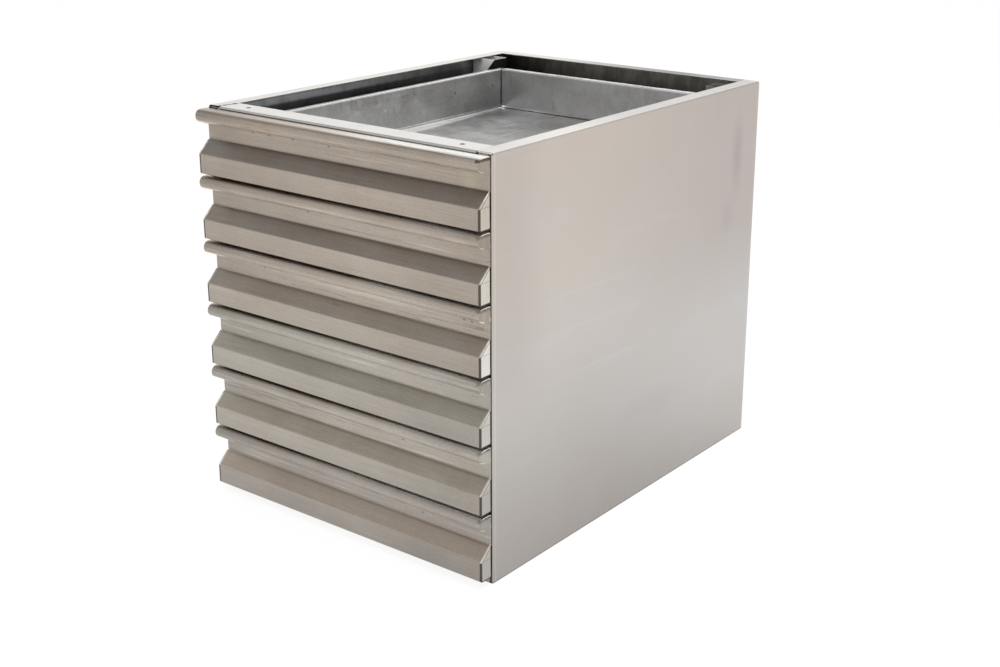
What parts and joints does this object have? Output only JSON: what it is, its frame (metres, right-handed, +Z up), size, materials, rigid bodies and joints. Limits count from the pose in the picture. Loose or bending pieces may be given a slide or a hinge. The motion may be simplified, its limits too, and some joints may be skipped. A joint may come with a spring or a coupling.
{
  "type": "stainless steel drawer unit",
  "caption": "Open-topped undercounter cabinet of brushed stainless steel sheet, with a stack of shallow drawers on ball runners, each pulled by a full-width lip and grip folded into its front.",
  "frame": {"origin": "middle of the whole footprint at the height of the flat base that stands on the floor", "axes": "+Z up, -Y out of the drawer fronts, +X to the right of someone who faces the drawers"},
  "size_m": [0.535, 0.7262, 0.61],
  "materials": {
    "case_sheet": "stainless sheet with a fine brushed grain, satin",
    "upright_sheet": "mill-finish stainless sheet, dull",
    "front_sheet": "stainless sheet with a brushed grain along the width, satin",
    "tray_sheet": "stainless sheet, satin, with water marks",
    "runner_steel": "rolled stainless strip, smooth",
    "screws": "bright stainless",
    "ball_cages": "thin strip with polished balls"
  },
  "bodies": {
    "case": {"left_side_panel": "case_sheet", "right_side_panel": "case_sheet", "back_panel": "case_sheet", "base_panel": "case_sheet", "top_front_rail": "case_sheet", "front_left_upright": "upright_sheet", "front_right_upright": "upright_sheet", "rear_left_upright": "upright_sheet", "rear_right_upright": "upright_sheet", "slide_screws": "screws", "drawer_1_outer_runners": "runner_steel", "drawer_2_outer_runners": "runner_steel", "drawer_3_outer_runners": "runner_steel", "drawer_4_outer_runners": "runner_steel", "drawer_5_outer_runners": "runner_steel", "drawer_6_outer_runners": "runner_steel"},
    "drawer_1": {"drawer_1_front": "front_sheet", "drawer_1_end_caps": "front_sheet", "drawer_1_tray": "tray_sheet", "drawer_1_tray_back": "tray_sheet", "drawer_1_inner_runners": "runner_steel"},
    "drawer_1_middle": {"drawer_1_middle_runners": "runner_steel", "drawer_1_ball_cages": "ball_cages"},
    "drawer_2": {"drawer_2_front": "front_sheet", "drawer_2_end_caps": "front_sheet", "drawer_2_tray": "tray_sheet", "drawer_2_tray_back": "tray_sheet", "drawer_2_inner_runners": "runner_steel"},
    "drawer_2_middle": {"drawer_2_middle_runners": "runner_steel", "drawer_2_ball_cages": "ball_cages"},
    "drawer_3": {"drawer_3_front": "front_sheet", "drawer_3_end_caps": "front_sheet", "drawer_3_tray": "tray_sheet", "drawer_3_tray_back": "tray_sheet", "drawer_3_inner_runners": "runner_steel"},
    "drawer_3_middle": {"drawer_3_middle_runners": "runner_steel", "drawer_3_ball_cages": "ball_cages"},
    "drawer_4": {"drawer_4_front": "front_sheet", "drawer_4_end_caps": "front_sheet", "drawer_4_tray": "tray_sheet", "drawer_4_tray_back": "tray_sheet", "drawer_4_inner_runners": "runner_steel"},
    "drawer_4_middle": {"drawer_4_middle_runners": "runner_steel", "drawer_4_ball_cages": "ball_cages"},
    "drawer_5": {"drawer_5_front": "front_sheet", "drawer_5_end_caps": "front_sheet", "drawer_5_tray": "tray_sheet", "drawer_5_tray_back": "tray_sheet", "drawer_5_inner_runners": "runner_steel"},
    "drawer_5_middle": {"drawer_5_middle_runners": "runner_steel", "drawer_5_ball_cages": "ball_cages"},
    "drawer_6": {"drawer_6_front": "front_sheet", "drawer_6_end_caps": "front_sheet", "drawer_6_tray": "tray_sheet", "drawer_6_tray_back": "tray_sheet", "drawer_6_inner_runners": "runner_steel"},
    "drawer_6_middle": {"drawer_6_middle_runners": "runner_steel", "drawer_6_ball_cages": "ball_cages"}
  },
  "joints": [
    {"name": "drawer_1_slide", "type": "slide", "parent": "case", "child": "drawer_1", "axis": [0, -1, 0], "range_m": [0, 0.6]},
    {"name": "drawer_1_middle_slide", "type": "slide", "parent": "case", "child": "drawer_1_middle", "axis": [0, -1, 0], "range_m": [0, 0.3]},
    {"name": "drawer_2_slide", "type": "slide", "parent": "case", "child": "drawer_2", "axis": [0, -1, 0], "range_m": [0, 0.6]},
    {"name": "drawer_2_middle_slide", "type": "slide", "parent": "case", "child": "drawer_2_middle", "axis": [0, -1, 0], "range_m": [0, 0.3]},
    {"name": "drawer_3_slide", "type": "slide", "parent": "case", "child": "drawer_3", "axis": [0, -1, 0], "range_m": [0, 0.6]},
    {"name": "drawer_3_middle_slide", "type": "slide", "parent": "case", "child": "drawer_3_middle", "axis": [0, -1, 0], "range_m": [0, 0.3]},
    {"name": "drawer_4_slide", "type": "slide", "parent": "case", "child": "drawer_4", "axis": [0, -1, 0], "range_m": [0, 0.6]},
    {"name": "drawer_4_middle_slide", "type": "slide", "parent": "case", "child": "drawer_4_middle", "axis": [0, -1, 0], "range_m": [0, 0.3]},
    {"name": "drawer_5_slide", "type": "slide", "parent": "case", "child": "drawer_5", "axis": [0, -1, 0], "range_m": [0, 0.6]},
    {"name": "drawer_5_middle_slide", "type": "slide", "parent": "case", "child": "drawer_5_middle", "axis": [0, -1, 0], "range_m": [0, 0.3]},
    {"name": "drawer_6_slide", "type": "slide", "parent": "case", "child": "drawer_6", "axis": [0, -1, 0], "range_m": [0, 0.6]},
    {"name": "drawer_6_middle_slide", "type": "slide", "parent": "case", "child": "drawer_6_middle", "axis": [0, -1, 0], "range_m": [0, 0.3]}
  ],
  "couplings": [
    {"joint": "drawer_1_middle_slide", "follows": "drawer_1_slide", "ratio": 0.5},
    {"joint": "drawer_2_middle_slide", "follows": "drawer_2_slide", "ratio": 0.5},
    {"joint": "drawer_3_middle_slide", "follows": "drawer_3_slide", "ratio": 0.5},
    {"joint": "drawer_4_middle_slide", "follows": "drawer_4_slide", "ratio": 0.5},
    {"joint": "drawer_5_middle_slide", "follows": "drawer_5_slide", "ratio": 0.5},
    {"joint": "drawer_6_middle_slide", "follows": "drawer_6_slide", "ratio": 0.5}
  ]
}
